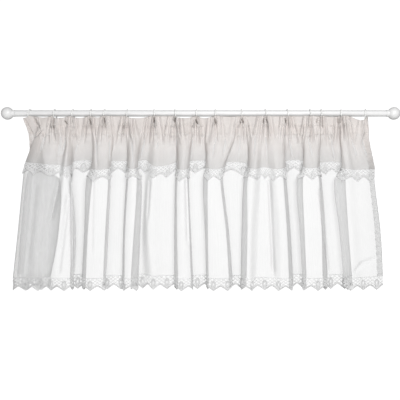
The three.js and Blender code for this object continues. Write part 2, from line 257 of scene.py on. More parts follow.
def along_curve(marks, t):
    """Points on a centripetal curve through the marks, for t from 0 to 1."""
    ends = np.vstack([2 * marks[0] - marks[1], marks, 2 * marks[-1] - marks[-2]])
    place = np.clip(t, 0, 1) * (len(marks) - 1)
    i = np.minimum(place.astype(int), len(marks) - 2)
    w = (place - i)[:, None]
    p0, p1, p2, p3 = ends[i], ends[i + 1], ends[i + 2], ends[i + 3]
    d0, d1, d2 = (np.sqrt(np.linalg.norm(b - a, axis=1))[:, None] for a, b in ((p0, p1), (p1, p2), (p2, p3)))
    m1 = d1 * ((p1 - p0) / d0 - (p2 - p0) / (d0 + d1) + (p2 - p1) / d1)
    m2 = d1 * ((p2 - p1) / d1 - (p3 - p1) / (d1 + d2) + (p3 - p2) / d2)
    return p1 + m1 * w + (3 * (p2 - p1) - 2 * m1 - m2) * w**2 + (2 * (p1 - p2) + m1 + m2) * w**3


HEM_MARKS = section_marks(PANEL_HEM["below"])
HEM_FINE = np.linspace(0, 1, 12001)
HEM_STEPS = np.linalg.norm(np.diff(along_curve(HEM_MARKS, HEM_FINE), axis=0), axis=1)
HEM_ARC = np.concatenate([[0], np.cumsum(HEM_STEPS)])
HEM_LENGTH = HEM_ARC[-1]
PITCH = HEM_LENGTH / SCALLOPS


def curve_place(share):
    """The curve's parameter for a share of the hem's length."""
    return np.interp(share * HEM_LENGTH, HEM_ARC, HEM_FINE)


EASE_POINTS = 9


def along_folds(column, share):
    """One column of the fold table, depth or lift, at shares of the hem's length.

    Each value is a mean over the nearest half scallop, so that it changes softly.
    """
    values = []
    for fold in FOLDS:
        values.append(fold[column])
        if fold[SWELL] is not None:
            values.append(fold[SWELL] if column == DEPTH else fold[column])
    ease = np.linspace(-1, 1, EASE_POINTS)[:, None] / (4 * SCALLOPS)
    place = curve_place(np.clip(share[None, :] + ease, 0, 1)) * (len(values) - 1)
    return np.interp(place, np.arange(len(values)), values).mean(axis=0)


# Depths below the rod at which the plan curve is worked out
PLAN_STEP = 4
PLAN_DEPTHS = np.arange(8, 712, PLAN_STEP)


class Threads:
    """Threads that run down the cloth at given shares of its hem, and their place in plan at every depth."""

    def __init__(self, share):
        self.share = np.asarray(share, float)
        t = curve_place(self.share)
        self.plans = np.array([along_curve(section_marks(depth), t) for depth in PLAN_DEPTHS])
        self.depth = along_folds(DEPTH, self.share)
        self.lift = along_folds(LIFT, self.share)

    def at(self, below):
        """Plan points for an array of depths below the rod, one row of threads after another."""
        place = np.clip((below - PLAN_DEPTHS[0]) / PLAN_STEP, 0, len(PLAN_DEPTHS) - 1.001)
        i = place.astype(int)
        w = (place - i)[..., None]
        column = np.broadcast_to(np.arange(len(self.share)), i.shape)
        return self.plans[i, column] * (1 - w) + self.plans[i + 1, column] * w

    def seam(self, hem, lifted):
        """Depth of the seam between the cloth and its edging."""
        return hem["below"] - hem["sway"] * self.depth - (self.lift if lifted else 0)

    def tips(self, hem, lifted):
        """Depth of the edging's points."""
        return self.seam(hem, lifted) + hem["lace_depth"] - hem["lace_sway"] * self.depth


def front_normals(plan):
    """Unit vectors in plan that point out of the cloth's front face."""
    along = np.gradient(plan, axis=-2)
    along /= np.maximum(np.linalg.norm(along, axis=-1, keepdims=True), 1e-9)
    return np.stack([along[..., 1], -along[..., 0]], axis=-1)


def smoothstep(low, high, x):
    """0 up to low, 1 from high on, and a soft rise between them."""
    x = np.clip((x - low) / (high - low), 0, 1)
    return x * x * (3 - 2 * x)


def between(start, end, span, x):
    """1 from start to end and 0 beyond. span: the rise about the start and the fall about the end."""
    rise, fall = span
    return smoothstep(*rise, x - start) * (1 - smoothstep(*fall, x - end))


def bell(x, centre, width):
    """1 at the centre, dying away on both sides."""
    return np.exp(-(((x - centre) / width) ** 2))


# Meshes
def add_object(name, data):
    thing = bpy.data.objects.new(name, data)
    bpy.context.scene.collection.objects.link(thing)
    return thing


def make_piece(name, vertices, faces, slot, material=None, uv=None, slant=None):
    """A smooth mesh object from points in millimetres, riding on the row's body.

    uv: where each point lies on the flat cloth. slant: how far the cloth stands aslant there.
    """
    mesh = bpy.data.meshes.new(name)
    mesh.from_pydata((np.asarray(vertices, float) * MM).tolist(), [], faces)
    mesh.polygons.foreach_set("use_smooth", [True] * len(mesh.polygons))
    if uv is not None:
        layer = mesh.uv_layers.new(name="cloth")
        corner = np.empty(len(mesh.loops), int)
        mesh.loops.foreach_get("vertex_index", corner)
        layer.data.foreach_set("uv", (np.asarray(uv)[corner] * MM).ravel())
    if slant is not None:
        layer = mesh.attributes.new("slant", "FLOAT", "POINT")
        layer.data.foreach_set("value", np.asarray(slant, float))
    mesh.update()
    piece = add_object(name, mesh)
    mesh.materials.append(MATERIALS[material or slot])
    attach(piece, "root")
    return piece


def directions(path, closed=False):
    """Unit vectors along a path of points."""
    if closed:
        along = np.roll(path, -1, axis=0) - np.roll(path, 1, axis=0)
    else:
        along = np.gradient(path, axis=0)
    return along / np.linalg.norm(along, axis=1, keepdims=True)


def faces_around(count, sides, closed):
    """Faces between rings of points along a path, an array of four corners each."""
    run = np.arange(count if closed else count - 1)[:, None]
    after = (run + 1) % count
    k = np.arange(sides)
    n = (k + 1) % sides
    corners = [run * sides + k, run * sides + n, after * sides + n, after * sides + k]
    return np.stack(corners, axis=-1).reshape(-1, 4)


def grid_faces(rows, columns):
    """Faces of four corners between rows of points."""
    corner = np.arange(rows * columns).reshape(rows, columns)
    a, b, c, d = corner[:-1, :-1], corner[1:, :-1], corner[1:, 1:], corner[:-1, 1:]
    return np.stack([a, b, c, d], axis=-1).reshape(-1, 4).tolist()


# Materials
class Shader:
    """A new material, or a new world, whose nodes are added one call at a time."""

    def __init__(self, name, store=bpy.data.materials):
        self.owner = store.new(name)
        self.owner.use_nodes = True
        self.tree = self.owner.node_tree
        self.tree.nodes.clear()

    def add(self, kind, inputs=(), **settings):
        node = self.tree.nodes.new(kind)
        for key, value in settings.items():
            setattr(node, key, value)
        for key, value in dict(inputs).items():
            if isinstance(value, bpy.types.NodeSocket):
                self.tree.links.new(value, node.inputs[key])
            else:
                node.inputs[key].default_value = value
        return node

    def place(self):
        return self.add("ShaderNodeTexCoord").outputs["Object"]

    def math(self, operation, *values):
        return self.add("ShaderNodeMath", enumerate(values), operation=operation).outputs[0]

    def ranged(self, value, low, high, to_low, to_high):
        inputs = {"Value": value, "From Min": low, "From Max": high, "To Min": to_low, "To Max": to_high}
        return self.add("ShaderNodeMapRange", inputs, interpolation_type="SMOOTHSTEP").outputs["Result"]

    def noise(self, vector, scale, stretch=(1, 1, 1), detail=3):
        mapping = self.add("ShaderNodeMapping", {"Vector": vector, "Scale": stretch})
        inputs = {"Vector": mapping.outputs[0], "Scale": scale, "Detail": detail}
        return self.add("ShaderNodeTexNoise", inputs).outputs[0]

    def blend_colours(self, share, first, second):
        inputs = {0: share, 6: first, 7: second}
        return self.add("ShaderNodeMix", inputs, data_type="RGBA").outputs[2]

    def bump(self, height, strength, distance):
        inputs = {"Height": height, "Strength": strength, "Distance": distance}
        return self.add("ShaderNodeBump", inputs).outputs[0]

    def principled(self, colour, normal, finish):
        inputs = {"Base Color": colour, "Normal": normal, **finish}
        return self.add("ShaderNodeBsdfPrincipled", inputs).outputs[0]

    def blend_shaders(self, share, first, second):
        return self.add("ShaderNodeMixShader", {0: share, 1: first, 2: second}).outputs[0]

    def finish(self, surface, output="ShaderNodeOutputMaterial"):
        self.add(output, {"Surface": surface})
        return self.owner


def grey(tone):
    return (tone, tone, tone, 1)


THREAD_PITCH = 0.0006

# Metres down the cloth over which the heading's colour, and how clear it is, give way to those of the body
COLOUR_CHANGE = (0.1, 0.22)
CLEAR_CHANGE = (0.05, 0.15)

# Share of a thread's light that comes through it from behind
LIT_THROUGH, LACE_LIT_THROUGH = 0.27, 0.25


def woven(shader, uv):
    """Height of a plain weave, 0 to 1, over and under along both thread directions."""
    across, along = (shader.math("MULTIPLY", uv.outputs[i], 2 * math.pi / THREAD_PITCH) for i in (0, 1))
    warp = shader.math("SINE", across)
    weft = shader.math("SINE", along)
    return shader.math("MULTIPLY_ADD", shader.math("MULTIPLY", warp, weft), 0.5, 0.5)


def voile_material(name, colours, clear, fold_lines):
    """Sheer cloth: partly clear, partly lit from the front and partly lit through from behind.

    colours and clear each hold a value for the heading and one for the body below it. clear is how much
    light goes straight through where the cloth faces the front. Less goes through where it stands aslant, and
    the larger fold_lines is, the more its folds stand out as lines.
    """
    shader = Shader(name)
    uv_map = shader.add("ShaderNodeUVMap", uv_map="cloth")
    uv = shader.add("ShaderNodeSeparateXYZ", {0: uv_map.outputs[0]})
    weave = woven(shader, uv)
    slubs = shader.noise(uv_map.outputs[0], 1, (300, 9, 1), 4)
    cloud = shader.noise(uv_map.outputs[0], 14, detail=3)
    colour = shader.blend_colours(shader.ranged(uv.outputs[1], *COLOUR_CHANGE, 0, 1), *colours)
    colour = shader.blend_colours(shader.ranged(cloud, 0.3, 0.7, 0, 0.2), colour, grey(0.95))
    facing = shader.ranged(uv.outputs[1], *CLEAR_CHANGE, *clear)
    streak = shader.ranged(slubs, 0.35, 0.7, 1.03, 0.96)
    texture = shader.math("MULTIPLY_ADD", weave, -0.1, 1.05)
    facing = shader.math("MULTIPLY", shader.math("MULTIPLY", facing, streak), texture)
    slant = shader.add("ShaderNodeAttribute", attribute_name="slant").outputs["Fac"]
    aslant = shader.math("POWER", facing, shader.math("MULTIPLY_ADD", slant, fold_lines, 1 - fold_lines))
    bump = shader.bump(weave, 0.25, 0.0002)
    finish = {"Roughness": 0.85, "Specular IOR Level": 0.2, "Sheen Weight": 0.1}
    front = shader.principled(colour, bump, finish)
    through = shader.add("ShaderNodeBsdfTranslucent", {"Color": colour, "Normal": bump}).outputs[0]
    cloth = shader.blend_shaders(LIT_THROUGH, front, through)
    hole = shader.add("ShaderNodeBsdfTransparent").outputs[0]
    return shader.finish(shader.blend_shaders(aslant, cloth, hole))


def lace_material(name, dark, light):
    """White cotton thread, twisted, a little uneven."""
    shader = Shader(name)
    place = shader.place()
    twist = shader.noise(place, 900, detail=4)
    cloud = shader.noise(place, 30, detail=3)
    colour = shader.blend_colours(shader.ranged(cloud, 0.3, 0.7, 0, 1), grey(dark), grey(light))
    finish = {"Roughness": 0.8, "Specular IOR Level": 0.25, "Sheen Weight": 0.1}
    front = shader.principled(colour, shader.bump(twist, 0.4, 0.0003), finish)
    through = shader.add("ShaderNodeBsdfTranslucent", {"Color": colour}).outputs[0]
    return shader.finish(shader.blend_shaders(LACE_LIT_THROUGH, front, through))


def paint_material():
    """White satin paint with a faint orange peel and a little handling wear in its gloss."""
    shader = Shader("white_satin_paint")
    place = shader.place()
    peel = shader.noise(place, 700, detail=2)
    rubbed = shader.noise(place, 18, (0.4, 1, 1), 4)
    colour = shader.blend_colours(rubbed, grey(0.84), grey(0.80))
    roughness = shader.ranged(rubbed, 0.3, 0.7, 0.32, 0.45)
    finish = {"Roughness": roughness, "Coat Weight": 0.2, "Coat Roughness": 0.2}
    return shader.finish(shader.principled(colour, shader.bump(peel, 0.12, 0.0002), finish))


def plastic_material():
    """White moulded plastic."""
    shader = Shader("white_plastic")
    place = shader.place()
    mottle = shader.noise(place, 120, detail=3)
    patches = shader.ranged(mottle, 0.35, 0.7, 0, 1)
    colour = shader.blend_colours(patches, (0.95, 0.95, 0.94, 1), (0.91, 0.91, 0.90, 1))
    roughness = shader.ranged(mottle, 0.3, 0.7, 0.3, 0.42)
    bump = shader.bump(mottle, 0.08, 0.0003)
    return shader.finish(shader.principled(colour, bump, {"Roughness": roughness}))


WARM = (0.82, 0.775, 0.75, 1)
GREYED = (0.64, 0.63, 0.622, 1)
WHITE = grey(0.83)
MATERIALS = {
    "valance_voile": voile_material("valance_voile", (WARM, GREYED), clear=(0.05, 0.36), fold_lines=0.6),
    "panel_voile": voile_material("panel_voile", (WHITE, WHITE), clear=(0.54, 0.54), fold_lines=2.3),
    # The two edgings are one lace thread in two tones. The valance's edging gets the paler copy, which is
    # painted light for the brighter look it has with the panel hanging behind it. The panel's edging keeps
    # the darker copy.
    "lace": lace_material("lace_thread", dark=0.79, light=0.88),
    "valance_lace": lace_material("lace_thread_painted_lighter", dark=0.88, light=0.93),
    "paint": paint_material(),
    "plastic": plastic_material(),
}


# Heading: pleats between gathering cords, drawn together at the hooks
LEFT_END = {"drop": 4, "slope": 0.25}
RIGHT_END = {"drop": 6}


def top_edge(x):
    """Depth of the heading's top edge: it sags between rings, and hangs lower outside them."""
    i = np.clip(np.searchsorted(RING_PLACES, x) - 1, 0, len(RINGS) - 2)
    share = np.clip((x - RING_PLACES[i]) / (RING_PLACES[i + 1] - RING_PLACES[i]), 0, 1)
    drop = RING_SAGS[i] * np.sin(np.pi * share ** (np.log(0.5) / np.log(RING_LOWS[i])))
    drop = np.where(x < RING_PLACES[0], LEFT_END["drop"] + LEFT_END["slope"] * (RING_PLACES[0] - x), drop)
    drop = np.where(x > RING_PLACES[-1], RIGHT_END["drop"], drop)
    return HEADING_TOP + drop


PLEAT_FROM, PLEAT_TO = -640, 655
PLEAT_SPACING = 12.5
PLEATS_DRAWN_TO = 0.72
FINE_PLEATS = {"jitter": (-3, 3), "width": (1.6, 3), "height": (6, 15), "upper": (0.4, 1), "lower": (0.3, 1)}
BROAD_PLEATS = {"start": 4, "reach": (9, 19), "width": 2.6, "height": (12, 17), "lower": (0.3, 0.9)}


def pleat_table():
    """Fine pleats that draw together toward the hooks, and a broad pair that spreads out from each hook.

    Columns: place at the top, place at the last cord, width, height, and how far they fill the upper and the
    lower band of the heading.
    """
    low = np.arange(PLEAT_FROM, PLEAT_TO, PLEAT_SPACING)
    count = len(low)
    low = low + dice.uniform(-0.4, 0.4, count) * PLEAT_SPACING
    hook = RING_PLACES[np.abs(low[:, None] - RING_PLACES[None, :]).argmin(axis=1)]
    high = hook + (low - hook) * PLEATS_DRAWN_TO + dice.uniform(*FINE_PLEATS["jitter"], count)
    chosen = [dice.uniform(*FINE_PLEATS[column], count) for column in ("width", "height", "upper", "lower")]
    rows = [np.stack([high, low, *chosen], axis=1)]
    count = len(RINGS)
    width = np.full(count, BROAD_PLEATS["width"])
    for side in (-1, 1):
        high = RING_PLACES + side * BROAD_PLEATS["start"]
        low = RING_PLACES + side * dice.uniform(*BROAD_PLEATS["reach"], count)
        height = dice.uniform(*BROAD_PLEATS["height"], count)
        lower = dice.uniform(*BROAD_PLEATS["lower"], count)
        rows.append(np.stack([high, low, width, height, np.ones(count), lower], axis=1))
    return np.concatenate(rows)


PLEATS = pleat_table()


# How creases, the pleats of the two bands and hollows begin and end
CREASE_SPAN = ((-10, 14), (-30, 10))
UPPER_SPAN = ((-14, -2), (-6, 10))
LOWER_SPAN = ((-10, 4), (-4, 46))
HOLLOW_SPAN = ((-4, 8), (-3, 5))


def creases(table, x, below):
    """Troughs along slanting lines, in millimetres, as forward relief."""
    relief = np.zeros_like(x)
    for x_from, from_below, x_to, to_below, width, depth in table:
        run, drop = x_to - x_from, to_below - from_below
        length = math.hypot(run, drop)
        along = ((x - x_from) * run + (below - from_below) * drop) / length
        beside = ((x - x_from) * drop - (below - from_below) * run) / length
        relief -= depth * bell(beside, 0, width) * between(0, length, CREASE_SPAN, along)
    return relief


def pleat_relief(x, below):
    """Pleats down the two bands of the heading, which widen and die away below the last cord."""
    top, middle, bottom = CORD_ROWS
    in_upper = between(top, middle, UPPER_SPAN, below)
    in_lower = between(middle, bottom, LOWER_SPAN, below)
    widening = 1 + 0.6 * smoothstep(middle, bottom + 40, below)
    down = (below - top) / (bottom - top)
    relief = np.zeros_like(x)
    for high, low, width, height, upper, lower in PLEATS:
        across = bell(x, high + (low - high) * down, width * widening)
        relief += height * across * (upper * in_upper + lower * in_lower)
    return relief


# Puffs of each band: height where the cloth is least full, what fullness adds, and how steeply they rise
UPPER_PUFF = {"least": 1, "added": 3, "steepness": 1.2}
LOWER_PUFF = {"least": 2, "added": 5, "steepness": 1.5}
LOWER_PUFF_OVERHANG = 8

# Bumps of cloth along the two lower cords, on a line that wavers about a place above each cord
BUMP = {"height": 6, "half_width": 5, "above": 4, "waver": 4, "waver_length": 21}


def puff_relief(x, below):
    """Puffs between the cords, and bumps along the two lower cords, by how full the cloth is."""
    top, middle, bottom = CORD_ROWS
    uneven_wave = np.sin(x / 6.1 + 2.1 * np.sin(x / 27)) * np.sin(x / 9.7 + 1)
    fullness = 0.5 + 0.5 * uneven_wave
    relief = np.zeros_like(x)
    for high, low, puff in ((top, middle, UPPER_PUFF), (middle, bottom + LOWER_PUFF_OVERHANG, LOWER_PUFF)):
        arch = np.sin(np.pi * np.clip((below - high) / (low - high), 0, 1)) ** puff["steepness"]
        relief += arch * (puff["least"] + puff["added"] * fullness)
    waver = BUMP["waver"] * np.sin(x / BUMP["waver_length"])
    for row in (middle, bottom):
        beside = bell(below, row - BUMP["above"] + waver, BUMP["half_width"])
        relief += BUMP["height"] * beside * fullness**2
    return relief


HOLLOW_DEPTH = 20
HOLLOW_TIP_WIDTH = 1.6


def with_hollows(relief, x, below):
    """The relief with the dark hollows pressed into it."""
    for x_from, from_below, x_to, to_below, width in HOLLOWS:
        share = np.clip((below - from_below) / (to_below - from_below), 0, 1)
        centre = x_from + (x_to - x_from) * share
        pressed = bell(x, centre, HOLLOW_TIP_WIDTH + (width - HOLLOW_TIP_WIDTH) * share)
        pressed *= between(from_below, to_below, HOLLOW_SPAN, below)
        relief = relief * (1 - pressed) - HOLLOW_DEPTH * pressed
    return relief


# Where the heading flattens toward its ends
FLAT_LEFT = (-672, -640)
FLAT_RIGHT = (640, 668)


def heading_relief(x, below):
    """How far the heading stands forward of its plain section, in millimetres."""
    relief = with_hollows(pleat_relief(x, below) + puff_relief(x, below), x, below)
    return relief * smoothstep(*FLAT_LEFT, x) * (1 - 0.5 * smoothstep(*FLAT_RIGHT, x))


def valance_relief(x, below):
    return heading_relief(x, below) + creases(VALANCE_CREASES, x, below)


PANEL_PLEATS_LENGTH = 60


def panel_relief(x, below):
    """The panel's fine pleats die away under the heading, and soft creases run down it."""
    fade = 1 - smoothstep(PANEL_TOP, PANEL_TOP + PANEL_PLEATS_LENGTH, below)
    pleats = 1.2 * np.sin(x / 3.1) + 0.8 * np.sin(x / 1.9 + 1)
    return fade * pleats + creases(PANEL_CREASES, x, below)


# Side hems: their width, how far behind the cloth they lie, and the puckers along their stitching
SIDE_HEM = 24
BACK_STEP = 0.9
PUCKER_PITCH = 28
PUCKER_DEPTH = 3.5

# The slant is how much cloth lies in front of the eye compared with flat cloth, at most this much
STEEPEST = 5


class Cloth:
    """A wide cloth whose side edges are turned back once, as rows of points down its threads."""

    def __init__(self, threads_per_scallop):
        count = SCALLOPS * threads_per_scallop
        step = HEM_LENGTH / count
        turned = int(round(SIDE_HEM / step))
        left_turn = np.arange(turned, 0, -1)
        right_turn = np.arange(count - 1, count - turned - 1, -1)
        self.column = np.concatenate([left_turn, np.arange(count + 1), right_turn])
        self.threads = Threads(np.linspace(0, 1, count + 1))
        self.turned = np.zeros(len(self.column))
        self.turned[:turned] = 1
        self.turned[-turned:] = 1
        self.across = (np.arange(len(self.column)) - turned) * step
        from_edge = np.minimum(self.threads.share, 1 - self.threads.share) * HEM_LENGTH
        self.hem_stitch = bell(from_edge, SIDE_HEM - 2, 2.5)
        self.side_hem = 1 - smoothstep(SIDE_HEM - 4, SIDE_HEM + 2, from_edge)

    def rows(self, below, offset, relief, behind=0.0):
        """Points of rows at given depths, and how slanted the cloth is there.

        below: rows by threads. offset: how far forward each row stands. behind: how far back the layer lies.
        """
        plan = self.threads.at(below)
        plan = plan + front_normals(plan) * offset[:, None, None]
        seen = plan[..., 0] / (1 + plan[..., 1] / EYE_DISTANCE)
        forward = relief(seen, below)
        pucker = np.cos(np.pi * below / PUCKER_PITCH) ** 8
        forward = forward - PUCKER_DEPTH * self.side_hem * pucker
        plan = np.stack([plan[..., 0], plan[..., 1] - forward], axis=-1)
        normal = front_normals(plan)
        slant = 1 / np.maximum(np.abs(normal[..., 1]), 1 / STEEPEST)
        slant[:, 1:-1] = (slant[:, :-2] + 2 * slant[:, 1:-1] + slant[:, 2:]) / 4
        slant = slant * (1 + 0.25 * self.side_hem + 1.5 * self.hem_stitch * pucker)
        back = self.turned[None, :, None] * BACK_STEP + behind
        plan = plan[:, self.column] - normal[:, self.column] * back
        points = np.concatenate([plan, -below[:, self.column, None]], axis=-1)
        return points, slant[:, self.column]


def cloth_piece(name, slot, cloth, blocks):
    """One mesh from blocks of rows, each with its distance down the cloth for every row."""
    points = np.concatenate([block[0] for block in blocks])
    slant = np.concatenate([block[1] for block in blocks])
    down = np.concatenate([block[2] for block in blocks])
    rows, columns = points.shape[:2]
    uv = np.stack(np.broadcast_arrays(cloth.across[None, :], down[:, None]), axis=-1)
    faces = grid_faces(rows, columns)
    return make_piece(name, points.reshape(-1, 3), faces, slot, uv=uv.reshape(-1, 2), slant=slant.ravel())


def rows_between(high, low, count):
    """Depths for rows from one line of threads to another."""
    share = np.linspace(0, 1, count)[:, None]
    return high[None, :] * (1 - share) + low[None, :] * share


VALANCE_THREADS, PANEL_THREADS = 24, 20
HEADING_ROWS, SKIRT_ROWS, TAPE_ROWS, PANEL_ROWS = 34, 44, 10, 96
GATHERED_TO = CORD_ROWS[2] + 2

# The top turned down: how far behind it lies, and its edges, the lower one wavering
TAPE = {"behind": 1.8, "top_below": 1.5, "foot_above": 3, "waver": 6, "waver_length": 19}

# How far forward of the plain section the valance stands, by depth below the rod
VALANCE_DEPTHS = (94, 150, 210)
VALANCE_OFFSETS = (HEADING_OFFSET, 3.5, VALANCE_HEM["offset"])


def build_valance():
    """The front from the heading's top edge to the seam, and its top turned down behind it to the cords."""
    cloth = Cloth(VALANCE_THREADS)
    threads = cloth.threads
    at_top = np.full((1, len(threads.share)), float(LEVEL_PLACES[0]))
    x = threads.at(at_top)[0, :, 0]
    top = top_edge(x)
    gather = np.full_like(top, GATHERED_TO)
    seam = threads.seam(VALANCE_HEM, True)
    skirt = rows_between(gather, seam, SKIRT_ROWS)
    below = np.concatenate([rows_between(top, gather, HEADING_ROWS), skirt[1:]])
    offsets = np.interp(below.mean(axis=1), VALANCE_DEPTHS, VALANCE_OFFSETS)
    down = below.mean(axis=1) - top.mean()
    foot = gather - TAPE["foot_above"] - TAPE["waver"] * (0.5 + 0.5 * np.sin(x / TAPE["waver_length"]))
    tape = rows_between(foot, top + TAPE["top_below"], TAPE_ROWS)
    tape_offsets = np.full(TAPE_ROWS, HEADING_OFFSET)
    tape_down = np.linspace(-(gather - top).mean(), 0, TAPE_ROWS)
    blocks = [
        (*cloth.rows(tape, tape_offsets, valance_relief, TAPE["behind"]), tape_down),
        (*cloth.rows(below, offsets, valance_relief), down),
    ]
    return cloth_piece("valance_cloth", "valance_voile", cloth, blocks)


def build_panel():
    """One layer from the heading's last cord to the seam."""
    cloth = Cloth(PANEL_THREADS)
    top = np.full(len(cloth.threads.share), float(PANEL_TOP))
    below = rows_between(top, cloth.threads.seam(PANEL_HEM, False), PANEL_ROWS)
    down = np.linspace(0, PANEL_HEM["below"] - PANEL_TOP, PANEL_ROWS)
    blocks = [(*cloth.rows(below, np.zeros(PANEL_ROWS), panel_relief), down)]
    return cloth_piece("panel_cloth", "panel_voile", cloth, blocks)


# Lace edging
LACE_ROWS = 14
LACE_COLUMNS_PER_SCALLOP = 24
MEDALLION = {"down": 27, "half_width": 8.2, "half_height": 15}
SLIT = {"down": 26, "half_width": 2.2, "half_height": 7.5}
EDGE_BAND = 6.5
NET = {"pitch": 3, "rise": 1.5, "width": 0.5, "lift": 0, "margin": 1}
TRELLIS = {"pitch": 18, "rise": 0.72, "width": 2.2, "lift": 0.5, "margin": EDGE_BAND}

# Between these places along the hem the left return's inner layer is hidden from both sides, so it has no
# net or trellis
RETURN_INSIDE = (150, 290)


class LaceStrip:
    """The curved surface of one edging, and the threads laid on it. Places on it are across and down."""

    def __init__(self, hem, lifted):
        count = SCALLOPS * LACE_COLUMNS_PER_SCALLOP
        threads = Threads(np.linspace(0, 1, count + 1))
        self.depth = hem["lace_depth"]
        seam = threads.seam(hem, lifted) + SEAM_GAP
        tips = threads.tips(hem, lifted)
        below = rows_between(seam, tips, LACE_ROWS)
        plan = threads.at(below)
        normal = front_normals(plan)
        plan = plan + normal * hem["offset"]
        self.points = np.concatenate([plan, -below[..., None]], axis=-1)
        self.normals = np.concatenate([normal, np.zeros_like(below)[..., None]], axis=-1)
        self.vertices, self.faces, self.count = [], [], 0

    def outline(self, across):
        """Depth of the scalloped edge."""
        beside = np.abs(2 * ((across / PITCH) % 1) - 1)
        return self.depth - SCALLOP_DEPTH * (1 - (1 - beside) ** SCALLOP_CURVE)

    def place(self, across, down, lift=0.0):
        """Points in space, lifted off the surface toward its front."""
        rows, columns = self.points.shape[:2]
        r = np.clip(down / self.depth, 0, 1.03) * (rows - 1)
        c = np.clip(across / HEM_LENGTH, 0, 1) * (columns - 1)
        i = np.minimum(r.astype(int), rows - 2)
        j = np.minimum(c.astype(int), columns - 2)
        u, v = (r - i)[..., None], (c - j)[..., None]

        def sample(values):
            near = values[i, j] * (1 - v) + values[i, j + 1] * v
            far = values[i + 1, j] * (1 - v) + values[i + 1, j + 1] * v
            return near * (1 - u) + far * u

        return sample(self.points) + sample(self.normals) * np.asarray(lift)[..., None]

    def add(self, vertices, faces):
        self.vertices.append(vertices)
        self.faces.append(faces + self.count)
        self.count += len(vertices)

    def ribbons(self, start, end, width, lift=0.0):
        """Flat threads, each a straight run from start to end (arrays of across, down)."""
        along = end - start
        along = along / np.maximum(np.linalg.norm(along, axis=1, keepdims=True), 1e-9)
        side = np.stack([-along[:, 1], along[:, 0]], axis=1) * width / 2
        corners = np.stack([start - side, start + side, end + side, end - side], axis=1)
        points = self.place(corners[..., 0], corners[..., 1], lift)
        self.add(points.reshape(-1, 3), np.arange(len(start) * 4).reshape(-1, 4))

    def cord(self, path, half_width, height, closed=False):
        """A raised cord of four sides along a path of (across, down)."""
        count = len(path)
        along = directions(path, closed)
        side = np.stack([-along[:, 1], along[:, 0]], axis=1) * half_width
        rails = [
            self.place(*(path - side).T),
            self.place(*path.T, lift=height),
            self.place(*(path + side).T),
            self.place(*path.T, lift=-height),
        ]
        points = np.stack(rails, axis=1).reshape(-1, 3)
        self.add(points, faces_around(count, 4, closed)[:, [0, 3, 2, 1]])
        if not closed:
            caps = np.array([[0, 1, 2, 3], [4 * count - 1, 4 * count - 2, 4 * count - 3, 4 * count - 4]])
            self.faces.append(caps + self.count - len(points))

    def piece(self, name, material):
        faces = np.concatenate(self.faces).tolist()
        return make_piece(name, np.concatenate(self.vertices), faces, "lace", material)


def in_medallion(across, down):
    beside = ((across / PITCH) % 1 - 0.5) * PITCH / MEDALLION["half_width"]
    above = (down - MEDALLION["down"]) / MEDALLION["half_height"]
    return beside**2 + above**2 < 1


FIRST_DOWN, RUN_POINTS = 0.5, 24


def crossing_threads(strip, pattern):
    """Two families of slanting threads, cut off at the scallops and around the medallions."""
    rise = pattern["rise"]
    reach = strip.depth / rise
    downs = np.linspace(FIRST_DOWN, strip.depth, RUN_POINTS)
    for slant in (1, -1):
        runs = np.arange(-reach, HEM_LENGTH + reach, pattern["pitch"])
        across = runs[:, None] + slant * downs[None, :] / rise
        down = np.broadcast_to(downs, across.shape)
        start = np.stack([across[:, :-1], down[:, :-1]], axis=-1).reshape(-1, 2)
        end = np.stack([across[:, 1:], down[:, 1:]], axis=-1).reshape(-1, 2)
        middle_across, middle_down = ((start + end) / 2).T
        keep = middle_down < strip.outline(middle_across) - pattern["margin"]
        keep &= ~in_medallion(middle_across, middle_down)
        keep &= (np.minimum(start[:, 0], end[:, 0]) > 0) & (np.maximum(start[:, 0], end[:, 0]) < HEM_LENGTH)
        keep &= (middle_across < RETURN_INSIDE[0]) | (middle_across > RETURN_INSIDE[1])
        strip.ribbons(start[keep], end[keep], pattern["width"], pattern["lift"])


def oval(centre, shape, count):
    """Points around a medallion's or a slit's outline."""
    angle = np.linspace(0, 2 * math.pi, count, endpoint=False)
    across = centre + shape["half_width"] * np.sin(angle)
    return np.stack([across, shape["down"] - shape["half_height"] * np.cos(angle)], axis=1)


# Cords along the scalloped edge: how far in, half width and height
EDGE_CORDS = ((0.9, 1.0, 0.7), (EDGE_BAND / 2 + 0.4, 0.7, 0.5), (EDGE_BAND, 0.8, 0.6))
EDGE_POINTS_PER_SCALLOP = 20
RUNGS = {"per_scallop": 26, "inset": 0.8, "width": 1.3}
SEAM_CORD = {"down": 0.8, "half_width": 0.8, "height": 0.5}


def build_edges(strip):
    """A cord along the seam, and a band of cords and rungs along the scallops."""
    across = np.linspace(0, HEM_LENGTH, SCALLOPS * EDGE_POINTS_PER_SCALLOP + 1)
    edge = strip.outline(across)
    seam = np.stack([across, np.full_like(across, SEAM_CORD["down"])], axis=1)
    strip.cord(seam, SEAM_CORD["half_width"], SEAM_CORD["height"])
    for inset, half_width, height in EDGE_CORDS:
        strip.cord(np.stack([across, edge - inset], axis=1), half_width, height)
    rungs = np.linspace(0, HEM_LENGTH, SCALLOPS * RUNGS["per_scallop"] + 1)
    foot = strip.outline(rungs)
    heads = np.stack([rungs, foot - EDGE_BAND], axis=1)
    feet = np.stack([rungs, foot - RUNGS["inset"]], axis=1)
    strip.ribbons(heads, feet, RUNGS["width"])


SPOKES = 18
SPOKE_WIDTH = 1.5
INNER_OVAL = {
    **MEDALLION,
    "half_width": 0.66 * MEDALLION["half_width"],
    "half_height": 0.76 * MEDALLION["half_height"],
}

# Cords around each medallion: shape, points, half width and height
MEDALLION_CORDS = ((MEDALLION, 24, 1.6, 1.0), (INNER_OVAL, 20, 0.7, 0.6), (SLIT, 16, 0.8, 0.6))


